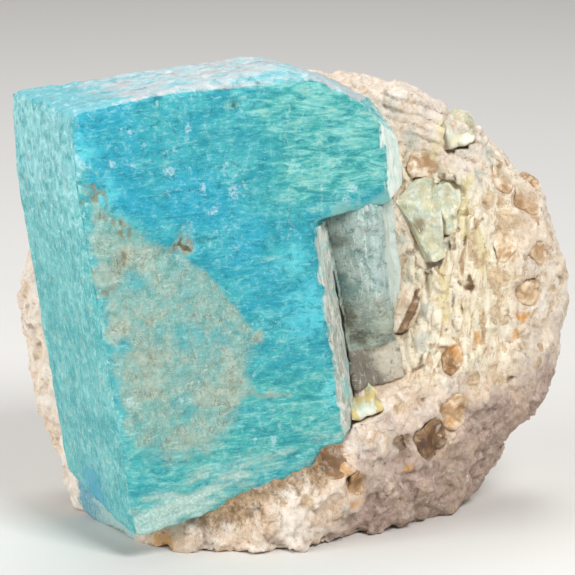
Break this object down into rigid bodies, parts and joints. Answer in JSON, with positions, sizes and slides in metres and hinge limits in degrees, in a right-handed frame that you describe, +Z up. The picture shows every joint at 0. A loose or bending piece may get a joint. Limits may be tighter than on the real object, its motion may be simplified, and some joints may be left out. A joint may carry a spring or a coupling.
{
  "type": "rough amazonite specimen",
  "caption": "Blocky blue-green amazonite crystal standing in a broken lump of cream albite, with a paler sister crystal and grains of smoky quartz. Rests on a flat spot.",
  "frame": {"origin": "in the flat spot under the rock, which the specimen rests on", "axes": "+Z up, -Y towards the side that shows the crystal's broad face, +X right along the length"},
  "size_m": [0.108, 0.0681, 0.0907],
  "materials": {
    "amazonite": "satin, streaked with white, with a grey weathered zone low on the left",
    "pale_amazonite": "satin, mottled grey-green",
    "pale_feldspar": "satin, pale green",
    "smoky_quartz": "glossy, smoky brown",
    "tan_quartz": "glossy, tan",
    "amber_quartz": "glossy, amber brown",
    "albite": "rough, broken, cream with brown and orange stains"
  },
  "bodies": {
    "root": {"amazonite_crystal": "amazonite", "sister_crystal": "pale_amazonite", "pale_crystal_tall": "pale_feldspar", "pale_crystal_short": "pale_feldspar", "pale_crystal_upper": "pale_feldspar", "green_feldspar": "pale_feldspar", "quartz_grain_1": "smoky_quartz", "quartz_grain_2": "tan_quartz", "quartz_grain_3": "smoky_quartz", "quartz_grain_4": "amber_quartz", "quartz_grain_5": "amber_quartz", "quartz_grain_6": "tan_quartz", "quartz_grain_7": "tan_quartz", "quartz_grain_8": "tan_quartz", "quartz_grain_9": "tan_quartz", "quartz_grain_10": "tan_quartz", "quartz_grain_11": "tan_quartz", "quartz_grain_12": "smoky_quartz", "albite_matrix": "albite"}
  },
  "joints": []
}
